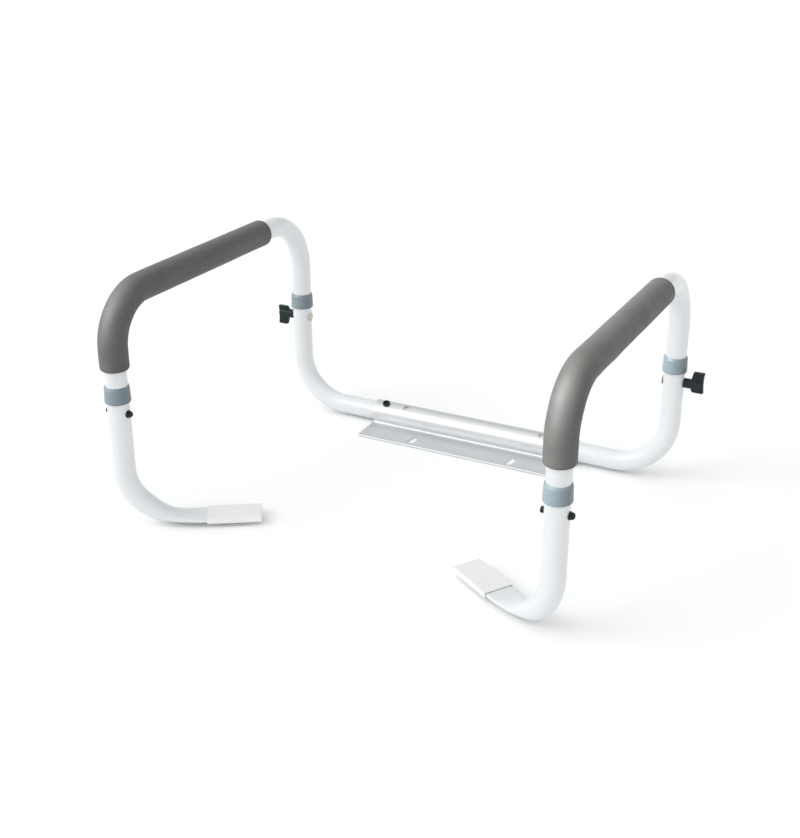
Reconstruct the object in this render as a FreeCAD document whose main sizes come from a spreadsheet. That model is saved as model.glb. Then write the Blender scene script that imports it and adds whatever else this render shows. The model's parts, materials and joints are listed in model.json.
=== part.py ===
import FreeCAD, Part
import math
import os
import Sketcher

# Toilet safety frame. Right-handed, millimetres, +Z up, user facing -Y, +X to the right seen from the front.
# The origin is on the underside of the bracket's flange, midway between the two seat-bolt slots.
# Angles are in degrees.

SIZES = {
    # round steel tube
    "tube_diameter": 25.4,
    "tube_wall": 1.2,
    "slide_clearance": 0.1,
    "stop_gap": 0.3,
    # where the uprights stand
    "upright_offset": 260.0,
    "tube_line": 41.0,
    "frame_depth": 394.0,
    "arm_height": 274.0,
    # centre bracket
    "bracket_length": 288.0,
    "bracket_diameter": 31.0,
    "flange_front": 16.5,
    "flange_thickness": 3.0,
    "flange_edge_radius": 1.2,
    "flange_root_radius": 2.0,
    "slot_spacing": 140.0,
    "slot_width": 10.5,
    "slot_length": 22.5,
    "lock_hole_outer": 127.5,
    "lock_hole_inner": 97.5,
    "lock_hole_diameter": 8.1,
    "lock_tilt": 20.0,
    # width lock screw
    "screw_shank": 8.0,
    "screw_head": 10.0,
    "screw_head_height": 3.0,
    "screw_socket": 5.0,
    "screw_socket_depth": 1.8,
    # rear lower tube
    "rear_inner_end": 60.0,
    "rear_bend": 65.0,
    "rear_top": 158.0,
    "rear_bolt_height": 134.5,
    # front lower tube and its flattened foot
    "front_top": 166.5,
    "front_bolt_height": 143.0,
    "foot_bend": 60.0,
    "foot_angle": 32.5,
    "foot_taper_start": 62.0,
    "foot_taper_end": 88.0,
    "foot_tube_end": 150.0,
    "foot_flat_width": 33.4,
    "foot_flat_thickness": 4.2,
    "foot_flat_centre": 8.2,
    "foot_slit_width": 31.0,
    "foot_slit_thickness": 1.8,
    # foot cap
    "cap_start": 90.0,
    "cap_length": 63.0,
    "cap_width": 36.0,
    "cap_thickness": 7.0,
    "cap_underside": 5.0,
    "cap_floor": 1.1,
    "cap_mouth_width": 33.8,
    "cap_mouth_height": 4.9,
    "cap_end_wall": 2.0,
    "cap_edge_radius": 1.6,
    # handle tube
    "rear_top_bend": 70.0,
    "front_top_bend": 56.0,
    "leg_end": 84.0,
    "swage_diameter": 22.8,
    "swage_cone": 4.0,
    "height_travel": 40.0,
    # foam grip
    "foam_diameter": 33.0,
    "foam_rear": 92.0,
    "foam_bottom": 194.5,
    "foam_end_radius": 3.0,
    "foam_bore_gap": 0.05,
    # collar
    "collar_diameter": 30.0,
    "collar_shoulder": 28.6,
    "collar_rim": 26.8,
    "collar_bevel": 3.0,
    "collar_height": 19.6,
    "collar_overlap": 10.5,
    "collar_lip": 0.3,
    "collar_lip_depth": 1.0,
    "collar_foot_radius": 1.3,
    # rear lock: carriage bolt, T-shaped knob and its threaded insert
    "rear_bolt_diameter": 6.0,
    "rear_bolt_end": 23.0,
    "rear_bolt_head": 12.0,
    "rear_bolt_head_height": 1.2,
    "knob_hub": 12.0,
    "knob_reach": 37.0,
    "knob_long_arm": 15.8,
    "knob_short_arm": 9.8,
    "knob_width": 6.0,
    "knob_wing_root": 21.5,
    "knob_wing_tip": 23.8,
    "knob_hollow": 1.0,
    "knob_edge_radius": 1.0,
    "insert_diameter": 8.0,
    "insert_end": 24.0,
    "insert_recess": 0.4,
    # front lock: bolt, washer and domed cap nut
    "front_bolt_diameter": 5.0,
    "front_bolt_end": 16.8,
    "front_bolt_head": 6.8,
    "front_bolt_head_height": 3.6,
    "front_bolt_socket": 3.0,
    "front_bolt_socket_depth": 1.8,
    "washer_diameter": 9.0,
    "washer_thickness": 0.8,
    "cap_nut_diameter": 8.2,
    "cap_nut_height": 4.6,
    # clearance round a bolt: on the radius in a drilled hole, in a slot and in a thread
    "hole_gap": 0.2,
    "slot_gap": 0.3,
    "thread_gap": 0.05,
}

SIDES = {"left": -1, "right": 1}
LEVEL = (1, 0, 0)
DEEP = (0, 1, 0)
UPRIGHT = (0, 0, 1)

doc = FreeCAD.newDocument("ToiletSafetyFrame")
sheet = doc.addObject("Spreadsheet::Sheet", "Sizes")
for row, (alias, number) in enumerate(SIZES.items(), start=1):
    sheet.set(f"A{row}", alias)
    sheet.set(f"B{row}", str(number))
    sheet.setAlias(f"B{row}", alias)
doc.recompute()

nodes = []


# ---------------------------------------------------------------- helpers


def cells(formula):
    """The formula with every alias written as a reference to the sheet."""
    words = []
    word = ""
    for letter in formula + " ":
        if letter.isalnum() or letter == "_":
            word += letter
            continue
        words.append(f"Sizes.{word}" if word in SIZES else word)
        words.append(letter)
        word = ""
    return "".join(words).strip()


def value(formula):
    """The number a formula of aliases gives now."""
    return float(sheet.evalExpression(cells(formula)))


def new_body(label, x="0", y="0", z="0", turn="0", axis=UPRIGHT):
    """A body that stands at (x, y, z) and is turned by an angle about an axis."""
    body = doc.addObject("PartDesign::Body", label)
    body.Label = label
    spot = FreeCAD.Vector(value(x), value(y), value(z))
    body.Placement = FreeCAD.Placement(spot, FreeCAD.Rotation(FreeCAD.Vector(*axis), value(turn)))
    for axis, formula in (("x", x), ("y", y), ("z", z)):
        body.setExpression(f"Placement.Base.{axis}", cells(formula))
    nodes.append(body)
    return body


def new_sketch(body, name, plane, across="0", up="0", out="0", turn="0", axis=DEEP):
    """A sketch on one of the body's own planes, shifted, then turned about one of its own axes."""
    sketch = body.newObject("Sketcher::SketchObject", name)
    support = next(f for f in body.Origin.OriginFeatures if f.Role == plane)
    sketch.AttachmentSupport = [(support, "")]
    sketch.MapMode = "FlatFace"
    shift = FreeCAD.Vector(value(across), value(up), value(out))
    rotation = FreeCAD.Rotation(FreeCAD.Vector(*axis), value(turn))
    sketch.AttachmentOffset = FreeCAD.Placement(shift, rotation)
    for axis, formula in (("x", across), ("y", up), ("z", out)):
        sketch.setExpression(f"AttachmentOffset.Base.{axis}", cells(formula))
    return sketch


def hold(sketch, kind, where, formula):
    """One dimension of a sketch, driven by the sheet; a zero distance puts the point on the axis instead."""
    number = value(formula)
    if kind in ("DistanceX", "DistanceY") and abs(number) < 1e-9:
        axis = -2 if kind == "DistanceX" else -1
        sketch.addConstraint(Sketcher.Constraint("PointOnObject", *where, axis))
        return
    if kind in ("DistanceX", "DistanceY"):
        index = sketch.addConstraint(Sketcher.Constraint(kind, -1, 1, *where, number))
    else:
        index = sketch.addConstraint(Sketcher.Constraint(kind, *where, number))
    sketch.setExpression(f"Constraints[{index}]", cells(formula))


def hold_point(sketch, where, x, y):
    """Both coordinates of one point of a sketch."""
    hold(sketch, "DistanceX", where, x)
    hold(sketch, "DistanceY", where, y)


def add_circle(sketch, diameter, x="0", y="0"):
    centre = FreeCAD.Vector(value(x), value(y), 0)
    shape = Part.Circle(centre, FreeCAD.Vector(0, 0, 1), value(diameter) / 2)
    circle = sketch.addGeometry(shape, False)
    hold(sketch, "Diameter", (circle,), diameter)
    hold_point(sketch, (circle, 3), x, y)


def add_polygon(sketch, points, closed=True):
    """Straight sides through (x, y) pairs of formulas; a closed outline unless told otherwise."""
    corners = [FreeCAD.Vector(value(x), value(y), 0) for x, y in points]
    first = sketch.GeometryCount
    sides = len(points) if closed else len(points) - 1
    for i in range(sides):
        sketch.addGeometry(Part.LineSegment(corners[i], corners[(i + 1) % len(points)]), False)
    for i in range(sides):
        if closed or i + 1 < sides:
            after = first + (i + 1) % sides
            sketch.addConstraint(Sketcher.Constraint("Coincident", first + i, 2, after, 1))
        hold_point(sketch, (first + i, 1), *points[i])
    if not closed:
        hold_point(sketch, (first + sides - 1, 2), *points[-1])


def add_obround(sketch, length, width, x="0", y="0", upright=False):
    """A slot outline of the stated end-to-end length, along the sketch's x, or along its y if upright."""
    half = f"(({length}) - ({width})) / 2"
    if upright:
        ends = ((x, f"({y}) - {half}"), (x, f"({y}) + {half}"))
    else:
        ends = ((f"({x}) - {half}", y), (f"({x}) + {half}", y))
    near, far = (FreeCAD.Vector(value(u), value(v), 0) for u, v in ends)
    radius = value(width) / 2
    aside = (FreeCAD.Vector(1, 0, 0) if upright else FreeCAD.Vector(0, -1, 0)) * radius
    tilt = math.pi / 2 if upright else 0
    up = FreeCAD.Vector(0, 0, 1)
    outline = (
        Part.LineSegment(near + aside, far + aside),
        Part.ArcOfCircle(Part.Circle(far, up, radius), tilt - math.pi / 2, tilt + math.pi / 2),
        Part.LineSegment(far - aside, near - aside),
        Part.ArcOfCircle(Part.Circle(near, up, radius), tilt + math.pi / 2, tilt + 3 * math.pi / 2),
    )
    first = sketch.GeometryCount
    for edge in outline:
        sketch.addGeometry(edge, False)
    for i in range(4):
        after = first + (i + 1) % 4
        sketch.addConstraint(Sketcher.Constraint("Tangent", first + i, 2, after, 1))
    sketch.addConstraint(Sketcher.Constraint("Equal", first + 1, first + 3))
    hold(sketch, "Radius", (first + 1,), f"({width}) / 2")
    hold_point(sketch, (first + 3, 3), *ends[0])
    hold_point(sketch, (first + 1, 3), *ends[1])


def add_hexagon(sketch, across_flats):
    """A regular hexagon round the sketch's origin, with two corners on its x axis."""
    half = f"({across_flats}) / 2"
    reach = f"({across_flats}) / sqrt(3)"
    step = f"({across_flats}) / sqrt(12)"
    upper = ((reach, "0"), (step, half), (f"-{step}", half))
    lower = ((f"-{reach}", "0"), (f"-{step}", f"-{half}"), (step, f"-{half}"))
    add_polygon(sketch, upper + lower)


def add_quarters(sketch, diameter, x, y):
    """A full circle drawn as four quarter arcs that meet on its diagonals."""
    centre = FreeCAD.Vector(value(x), value(y), 0)
    circle = Part.Circle(centre, FreeCAD.Vector(0, 0, 1), value(diameter) / 2)
    for i in range(4):
        start = (2 * i - 1) * math.pi / 4
        sketch.addGeometry(Part.ArcOfCircle(circle, start, start + math.pi / 2), False)
    for i in range(4):
        sketch.addConstraint(Sketcher.Constraint("Coincident", i, 2, (i + 1) % 4, 1))
        if i:
            sketch.addConstraint(Sketcher.Constraint("Coincident", 0, 3, i, 3))
    hold(sketch, "Diameter", (0,), diameter)
    hold_point(sketch, (0, 3), x, y)


def add_route(sketch, corners, bends):
    """A tube's centre line: axis-parallel runs through the corners, rounded by the bend radii."""
    points = [FreeCAD.Vector(value(x), value(y), 0) for x, y in corners]
    runs = [(after - here).normalize() for here, after in zip(points, points[1:])]
    radii = [0.0] + [value(bend) for bend in bends] + [0.0]
    lines = []
    for i, run in enumerate(runs):
        start = points[i] + run * radii[i]
        end = points[i + 1] - run * radii[i + 1]
        lines.append(sketch.addGeometry(Part.LineSegment(start, end), False))
        level = abs(run.x) > abs(run.y)
        sketch.addConstraint(Sketcher.Constraint("Horizontal" if level else "Vertical", lines[-1]))
        if i:
            kind, formula = ("DistanceY", corners[i][1]) if level else ("DistanceX", corners[i][0])
            hold(sketch, kind, (lines[-1], 1), formula)
    for i, bend in enumerate(bends):
        before, after, radius = runs[i], runs[i + 1], radii[i + 1]
        centre = points[i + 1] - before * radius + after * radius
        circle = Part.Circle(centre, FreeCAD.Vector(0, 0, 1), radius)
        entry = math.atan2(-after.y, -after.x)
        leave = math.atan2(before.y, before.x)
        leftward = before.cross(after).z > 0
        span = (entry, leave) if leftward else (leave, entry)
        arc = sketch.addGeometry(Part.ArcOfCircle(circle, *span), False)
        ins, outs = (1, 2) if leftward else (2, 1)
        sketch.addConstraint(Sketcher.Constraint("Tangent", lines[i], 2, arc, ins))
        sketch.addConstraint(Sketcher.Constraint("Tangent", arc, outs, lines[i + 1], 1))
        hold(sketch, "Radius", (arc,), bend)
    hold_point(sketch, (lines[0], 1), *corners[0])
    level = abs(runs[-1].x) > abs(runs[-1].y)
    kind, formula = ("DistanceX", corners[-1][0]) if level else ("DistanceY", corners[-1][1])
    hold(sketch, kind, (lines[-1], 2), formula)


def grown(body, feature, more=True):
    """Recompute, and stop if the feature has not added (or not removed) material."""
    before = feature.BaseFeature.Shape.Volume if feature.BaseFeature else 0.0
    body.Tip = feature
    doc.recompute()
    change = feature.Shape.Volume - before
    if (change > 0) != more or abs(change) < 1e-3:
        raise RuntimeError(f"{body.Label}: {feature.Name} changed the volume by {change:.3f}")
    return feature


def pad(body, sketch, length, symmetric=False, reverse=False):
    feature = body.newObject("PartDesign::Pad", "Pad")
    feature.Profile = sketch
    feature.Length = value(length)
    feature.setExpression("Length", cells(length))
    feature.Midplane = symmetric
    feature.Reversed = reverse
    return grown(body, feature)


def pocket(body, sketch, length=None, reverse=False):
    """A cut of the stated length below the sketch, or straight through both ways if there is none."""
    feature = body.newObject("PartDesign::Pocket", "Pocket")
    feature.Profile = sketch
    if length is None:
        feature.Type = "ThroughAll"
        feature.Midplane = True
    else:
        feature.Length = value(length)
        feature.setExpression("Length", cells(length))
        feature.Reversed = reverse
    return grown(body, feature, more=False)


def revolve(body, sketch):
    """A full turn of the sketch about its own vertical axis."""
    feature = body.newObject("PartDesign::Revolution", "Revolution")
    feature.Profile = sketch
    feature.ReferenceAxis = (sketch, ["V_Axis"])
    feature.Angle = 360.0
    return grown(body, feature)


def pipe(body, profile, route):
    feature = body.newObject("PartDesign::AdditivePipe", "Pipe")
    feature.Profile = profile
    doc.recompute()
    feature.Spine = (route, [f"Edge{i + 1}" for i in range(len(route.Shape.Edges))])
    return grown(body, feature)


def loft(body, start, end, cut=False):
    kind = "PartDesign::SubtractiveLoft" if cut else "PartDesign::AdditiveLoft"
    feature = body.newObject(kind, "Loft")
    feature.Profile = start
    feature.Sections = [end]
    return grown(body, feature, more=not cut)


def round_edges(body, radius, wanted):
    """A fillet on every edge of the body that the test picks out."""
    base = body.Tip
    names = [f"Edge{i + 1}" for i, edge in enumerate(base.Shape.Edges) if wanted(edge)]
    feature = body.newObject("PartDesign::Fillet", "Fillet")
    feature.Base = (base, names)
    feature.Radius = value(radius)
    feature.setExpression("Radius", cells(radius))
    body.Tip = feature
    doc.recompute()
    return feature


def near(number, target):
    return abs(number - target) < 1e-4


def lies(edge, **limits):
    """True if every limit, such as x=3 or y=0, holds all along the edge."""
    box = edge.BoundBox
    ends = {"x": (box.XMin, box.XMax), "y": (box.YMin, box.YMax), "z": (box.ZMin, box.ZMax)}
    return all(abs(end - limit) < 1e-3 for axis, limit in limits.items() for end in ends[axis])


# ---------------------------------------------------------------- centre bracket


def centre_bracket():
    """Extruded tube with a flange in front, two slots for seat bolts and four lock holes leaning forward."""
    body = new_body("center_bracket")
    axis_height = "bracket_diameter / 2"

    outline = new_sketch(body, "TubeOutline", "YZ_Plane")
    add_circle(outline, "bracket_diameter", "tube_line", axis_height)
    pad(body, outline, "bracket_length", symmetric=True)
    flange = new_sketch(body, "FlangeOutline", "YZ_Plane")
    front = "-flange_front"
    corners = ((front, "0"), ("tube_line", "0"), ("tube_line", "flange_thickness"))
    add_polygon(flange, (*corners, (front, "flange_thickness")))
    pad(body, flange, "bracket_length", symmetric=True)

    def long_edge(edge):
        return edge.BoundBox.XLength > value("bracket_length") - 1

    def front_edge(edge):
        return long_edge(edge) and near(edge.BoundBox.YMax, value(front))

    def root_edge(edge):
        top = near(edge.BoundBox.ZMax, value("flange_thickness"))
        return long_edge(edge) and top and edge.BoundBox.YMax > value("flange_edge_radius")

    round_edges(body, "flange_edge_radius", front_edge)
    round_edges(body, "flange_root_radius", root_edge)

    bore = new_sketch(body, "Bore", "YZ_Plane")
    add_circle(bore, "tube_diameter + 2 * slide_clearance", "tube_line", axis_height)
    pocket(body, bore)

    slots = new_sketch(body, "SeatBoltSlots", "XY_Plane")
    for side in SIDES.values():
        add_obround(slots, "slot_length", "slot_width", f"{side} * slot_spacing / 2", "0", upright=True)
    pocket(body, slots)

    back = "tube_line - bracket_diameter / 2 * sin(lock_tilt)"
    top = "bracket_diameter / 2 * (1 + cos(lock_tilt))"
    holes = new_sketch(body, "LockHoles", "XY_Plane", up=back, out=top, turn="lock_tilt", axis=LEVEL)
    for side in SIDES.values():
        for place in ("lock_hole_outer", "lock_hole_inner"):
            add_circle(holes, "lock_hole_diameter", f"{side} * {place}")
    pocket(body, holes, "bracket_diameter / 3")


def width_lock_screw(name, side):
    """Socket head screw that leans forward and points at the line of the tube inside the bracket."""
    spot = (f"{side} * lock_hole_outer", "tube_line", "bracket_diameter / 2")
    body = new_body(f"{name}_width_lock_screw", *spot, "lock_tilt", LEVEL)
    section = new_sketch(body, "Section", "XZ_Plane")
    tip, seat = "tube_diameter / 2 + stop_gap", "bracket_diameter / 2"
    top = f"{seat} + screw_head_height"
    shank, head = "screw_shank / 2", "screw_head / 2"
    points = (("0", tip), (shank, tip), (shank, seat), (head, seat), (head, top), ("0", top))
    add_polygon(section, points)
    revolve(body, section)
    recess = new_sketch(body, "Socket", "XY_Plane", out=top)
    add_hexagon(recess, "screw_socket")
    pocket(body, recess, "screw_socket_depth")


# ---------------------------------------------------------------- tubes


def ring(sketch, outside, wall, x, y):
    add_circle(sketch, outside, x, y)
    add_circle(sketch, f"{outside} - 2 * ({wall})", x, y)


def rear_lower_tube(name, side):
    """Straight in the bracket, one bend, then up to the collar. Both sides are the same part, turned."""
    turn = "0" if side < 0 else "180"
    body = new_body(f"{name}_rear_lower_tube", f"{side} * upright_offset", "tube_line", turn=turn)
    height = "bracket_diameter / 2"
    inner = "upright_offset - rear_inner_end"
    route = new_sketch(body, "Route", "XZ_Plane")
    add_route(route, ((inner, height), ("0", height), ("0", "rear_top")), ("rear_bend",))
    profile = new_sketch(body, "Profile", "YZ_Plane", out=inner)
    ring(profile, "tube_diameter", "tube_wall", "0", height)
    pipe(body, profile, route)
    hole = new_sketch(body, "BoltHole", "YZ_Plane")
    add_circle(hole, "rear_bolt_diameter + 2 * hole_gap", "0", "rear_bolt_height")
    pocket(body, hole)


def foot_turn(side):
    """The way a foot points, as a turn from +X: inwards and towards the bracket."""
    return "foot_angle" if side < 0 else "180 - foot_angle"


def front_lower_tube(name, side):
    """Down from the front collar, one bend inwards, then pressed flat for the foot cap."""
    spot = (f"{side} * upright_offset", "tube_line - frame_depth", "0")
    body = new_body(f"{name}_front_lower_tube", *spot, foot_turn(side))
    height = "tube_diameter / 2"
    route = new_sketch(body, "Route", "XZ_Plane")
    corners = (("0", "front_top"), ("0", height), ("foot_taper_start", height))
    add_route(route, corners, ("foot_bend",))
    profile = new_sketch(body, "Profile", "XY_Plane", out="front_top")
    ring(profile, "tube_diameter", "tube_wall", "0", "0")
    pipe(body, profile, route)

    round_end = new_sketch(body, "RoundEnd", "YZ_Plane", out="foot_taper_start")
    add_quarters(round_end, "tube_diameter", "0", height)
    flat_end = new_sketch(body, "FlatEnd", "YZ_Plane", out="foot_taper_end")
    add_obround(flat_end, "foot_flat_width", "foot_flat_thickness", "0", "foot_flat_centre")
    loft(body, round_end, flat_end)
    blade = new_sketch(body, "Blade", "YZ_Plane", out="foot_taper_end")
    add_obround(blade, "foot_flat_width", "foot_flat_thickness", "0", "foot_flat_centre")
    pad(body, blade, "foot_tube_end - foot_taper_end")

    round_bore = new_sketch(body, "RoundBore", "YZ_Plane", out="foot_taper_start")
    add_quarters(round_bore, "tube_diameter - 2 * tube_wall", "0", height)
    slit_end = new_sketch(body, "SlitEnd", "YZ_Plane", out="foot_taper_end")
    add_obround(slit_end, "foot_slit_width", "foot_slit_thickness", "0", "foot_flat_centre")
    loft(body, round_bore, slit_end, cut=True)
    slit = new_sketch(body, "Slit", "YZ_Plane", out="foot_tube_end")
    add_obround(slit, "foot_slit_width", "foot_slit_thickness", "0", "foot_flat_centre")
    pocket(body, slit, "foot_tube_end - foot_taper_end")

    hole = new_sketch(body, "BoltHole", "YZ_Plane", turn=f"-({foot_turn(side)})")
    add_circle(hole, "front_bolt_diameter + 2 * hole_gap", "0", "front_bolt_height")
    pocket(body, hole)


def handle_tube(name, side):
    """Rear leg, armrest and front leg in one bent tube, with both legs swaged down to slide."""
    body = new_body(f"{name}_handle_tube", f"{side} * upright_offset", "tube_line")
    straight = "stop_gap + swage_cone + 2"
    rear_start, front_start = f"rear_top + {straight}", f"front_top + {straight}"
    route = new_sketch(body, "Route", "YZ_Plane")
    corners = (
        ("0", rear_start),
        ("0", "arm_height"),
        ("-frame_depth", "arm_height"),
        ("-frame_depth", front_start),
    )
    add_route(route, corners, ("rear_top_bend", "front_top_bend"))
    profile = new_sketch(body, "Profile", "XY_Plane", out=rear_start)
    ring(profile, "tube_diameter", "tube_wall", "0", "0")
    pipe(body, profile, route)

    outer, swaged = "tube_diameter / 2", "swage_diameter / 2"
    for leg, top, out in (("Rear", "rear_top", "0"), ("Front", "front_top", "frame_depth")):
        section = new_sketch(body, f"{leg}Leg", "XZ_Plane", out=out)
        shoulder = f"{top} + stop_gap"
        points = (
            (swaged, "leg_end"),
            (swaged, shoulder),
            (outer, f"{shoulder} + swage_cone"),
            (outer, f"{top} + {straight}"),
            (f"{outer} - tube_wall", f"{top} + {straight}"),
            (f"{outer} - tube_wall", f"{shoulder} + swage_cone"),
            (f"{swaged} - tube_wall", shoulder),
            (f"{swaged} - tube_wall", "leg_end"),
        )
        add_polygon(section, points)
        revolve(body, section)

    slots = new_sketch(body, "AdjustmentSlots", "YZ_Plane")
    for bolt, y in (("rear_bolt", "0"), ("front_bolt", "-frame_depth")):
        width = f"({bolt}_diameter + 2 * slot_gap)"
        middle = f"{bolt}_height - height_travel / 2"
        add_obround(slots, f"height_travel + {width}", width, y, middle, upright=True)
    pocket(body, slots)


def foam_grip(name, side):
    """Foam sleeve over the armrest, round the front bend and down the front leg."""
    body = new_body(f"{name}_foam_grip", f"{side} * upright_offset", "tube_line")
    route = new_sketch(body, "Route", "YZ_Plane")
    corners = (
        ("-foam_rear", "arm_height"),
        ("-frame_depth", "arm_height"),
        ("-frame_depth", "foam_bottom"),
    )
    add_route(route, corners, ("front_top_bend",))
    profile = new_sketch(body, "Profile", "XZ_Plane", out="foam_rear")
    add_circle(profile, "foam_diameter", "0", "arm_height")
    add_circle(profile, "tube_diameter + 2 * foam_bore_gap", "0", "arm_height")
    pipe(body, profile, route)

    def end_rim(edge):
        rear = lies(edge, y=-value("foam_rear"))
        bottom = lies(edge, z=value("foam_bottom"))
        return (rear or bottom) and near(edge.BoundBox.XLength, value("foam_diameter"))

    round_edges(body, "foam_end_radius", end_rim)


def foot_cap(name, side):
    """Plastic sleeve closed at its tip, pushed over the flattened end of the front tube."""
    spot = (f"{side} * upright_offset", "tube_line - frame_depth", "cap_underside")
    body = new_body(f"{name}_foot_cap", *spot, foot_turn(side))
    outline = new_sketch(body, "Outline", "XY_Plane")
    near_x, far_x, half = "cap_start", "cap_start + cap_length", "cap_width / 2"
    add_polygon(outline, ((near_x, f"-{half}"), (far_x, f"-{half}"), (far_x, half), (near_x, half)))
    pad(body, outline, "cap_thickness")

    def shell_edge(edge):
        mouth = lies(edge, x=value(near_x))
        return not mouth and not lies(edge, x=value(far_x), z=0)

    round_edges(body, "cap_edge_radius", shell_edge)
    mouth = new_sketch(body, "Mouth", "YZ_Plane", out=near_x)
    side_y = "cap_mouth_width / 2"
    top = "cap_floor + cap_mouth_height"
    corners = ((f"-{side_y}", "cap_floor"), (side_y, "cap_floor"), (side_y, top), (f"-{side_y}", top))
    add_polygon(mouth, corners)
    pocket(body, mouth, "cap_length - cap_end_wall", reverse=True)


# ---------------------------------------------------------------- joints between the tubes


def collar(label, side, y, top):
    """Slightly tapered plastic sleeve over the top of a lower tube, bevelled round its rim."""
    body = new_body(label, f"{side} * upright_offset", y, f"{top} - collar_overlap")
    section = new_sketch(body, "Section", "XZ_Plane")
    bore = "tube_diameter / 2 + slide_clearance"
    points = (
        (bore, "0"),
        ("collar_diameter / 2", "0"),
        ("collar_shoulder / 2", "collar_height - collar_bevel"),
        ("collar_rim / 2", "collar_height"),
        (f"{bore} + collar_lip", "collar_height"),
        (bore, "collar_height - collar_lip_depth"),
    )
    add_polygon(section, points)
    revolve(body, section)

    def foot_rim(edge):
        return lies(edge, z=0) and near(edge.BoundBox.XLength, value("collar_diameter"))

    round_edges(body, "collar_foot_radius", foot_rim)


def outward(side):
    """The turn about +Y that makes a fastener drawn along +X point away from the middle of the frame."""
    return "180" if side < 0 else "0"


def rear_lock_bolt(name, side):
    """Carriage bolt: low round head on the inner side, shank through both tubes into the knob."""
    spot = (f"{side} * upright_offset", "tube_line", "rear_bolt_height")
    body = new_body(f"{name}_rear_lock_bolt", *spot, outward(side), DEEP)
    face = "tube_diameter / 2"
    shank = new_sketch(body, "Shank", "YZ_Plane", out=f"-{face}")
    add_circle(shank, "rear_bolt_diameter")
    pad(body, shank, f"{face} + rear_bolt_end")
    head = new_sketch(body, "Head", "YZ_Plane", out=f"-{face}")
    add_circle(head, "rear_bolt_head")
    pad(body, head, "rear_bolt_head_height", reverse=True)

    def crown(edge):
        return lies(edge, x=-value(f"{face} + rear_bolt_head_height"))

    round_edges(body, "rear_bolt_head_height * 0.8", crown)


def rear_lock_knob(name, side):
    """Moulded knob: a round hub with a flat wing across its outer end, longer on one side."""
    spot = (f"{side} * upright_offset", "tube_line", "rear_bolt_height")
    body = new_body(f"{name}_rear_lock_knob", *spot, outward(side), DEEP)
    start = "tube_diameter / 2 + stop_gap"
    hub = new_sketch(body, "Hub", "YZ_Plane", out=start)
    add_circle(hub, "knob_hub")
    pad(body, hub, f"knob_reach - knob_hollow - 1 - ({start})")
    wing = new_sketch(body, "Wing", "XZ_Plane")
    root = "knob_hub / 2"
    points = (
        ("knob_reach", "knob_long_arm"),
        ("knob_wing_tip", "knob_long_arm"),
        ("knob_wing_root", root),
        ("knob_wing_root", f"-{root}"),
        ("knob_wing_tip", "-knob_short_arm"),
        ("knob_reach", "-knob_short_arm"),
    )
    add_polygon(wing, points, closed=False)
    half = "((knob_long_arm + knob_short_arm) / 2)"
    sweep = f"({half}^2 + knob_hollow^2) / (2 * knob_hollow)"
    radius = value(sweep)
    middle = value(f"knob_long_arm - {half}")
    centre = FreeCAD.Vector(value("knob_reach - knob_hollow") + radius, middle, 0)
    lean = math.asin(value(half) / radius)
    circle = Part.Circle(centre, FreeCAD.Vector(0, 0, 1), radius)
    face = wing.addGeometry(Part.ArcOfCircle(circle, math.pi - lean, math.pi + lean), False)
    wing.addConstraint(Sketcher.Constraint("Coincident", face, 1, 0, 1))
    wing.addConstraint(Sketcher.Constraint("Coincident", face, 2, face - 1, 2))
    hold(wing, "Radius", (face,), sweep)
    pad(body, wing, "knob_width", symmetric=True)

    def wing_tip(edge):
        return lies(edge, z=value("knob_long_arm")) or lies(edge, z=-value("knob_short_arm"))

    round_edges(body, "knob_edge_radius", wing_tip)
    seat = new_sketch(body, "InsertSeat", "YZ_Plane", out=start)
    add_circle(seat, "insert_diameter")
    pocket(body, seat, f"insert_end - ({start})", reverse=True)


def knob_insert(name, side):
    """Threaded metal bush moulded into the knob's hub."""
    spot = (f"{side} * upright_offset", "tube_line", "rear_bolt_height")
    body = new_body(f"{name}_knob_insert", *spot, outward(side), DEEP)
    start = "tube_diameter / 2 + stop_gap + insert_recess"
    bush = new_sketch(body, "Bush", "YZ_Plane", out=start)
    ring(bush, "insert_diameter", "(insert_diameter - rear_bolt_diameter) / 2 - thread_gap", "0", "0")
    pad(body, bush, f"insert_end - ({start})")


def front_lock_bolt(name, side):
    """Bolt through the front tubes, with a round socket head on the -X side."""
    spot = (f"{side} * upright_offset", "tube_line - frame_depth", "front_bolt_height")
    body = new_body(f"{name}_front_lock_bolt", *spot)
    face = "tube_diameter / 2"
    shank = new_sketch(body, "Shank", "YZ_Plane", out=f"-{face}")
    add_circle(shank, "front_bolt_diameter")
    pad(body, shank, f"{face} + front_bolt_end")
    head = new_sketch(body, "Head", "YZ_Plane", out=f"-{face}")
    add_circle(head, "front_bolt_head")
    pad(body, head, "front_bolt_head_height", reverse=True)

    def crown(edge):
        return lies(edge, x=-value(f"{face} + front_bolt_head_height"))

    round_edges(body, "front_bolt_head_height / 3", crown)
    socket = new_sketch(body, "Socket", "YZ_Plane", out=f"-({face} + front_bolt_head_height)")
    add_hexagon(socket, "front_bolt_socket")
    pocket(body, socket, "front_bolt_socket_depth", reverse=True)


def front_washer(name, side):
    spot = (f"{side} * upright_offset", "tube_line - frame_depth", "front_bolt_height")
    body = new_body(f"{name}_front_washer", *spot)
    disc = new_sketch(body, "Disc", "YZ_Plane", out="tube_diameter / 2")
    wall = "(washer_diameter - front_bolt_diameter) / 2 - hole_gap"
    ring(disc, "washer_diameter", wall, "0", "0")
    pad(body, disc, "washer_thickness")


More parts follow.
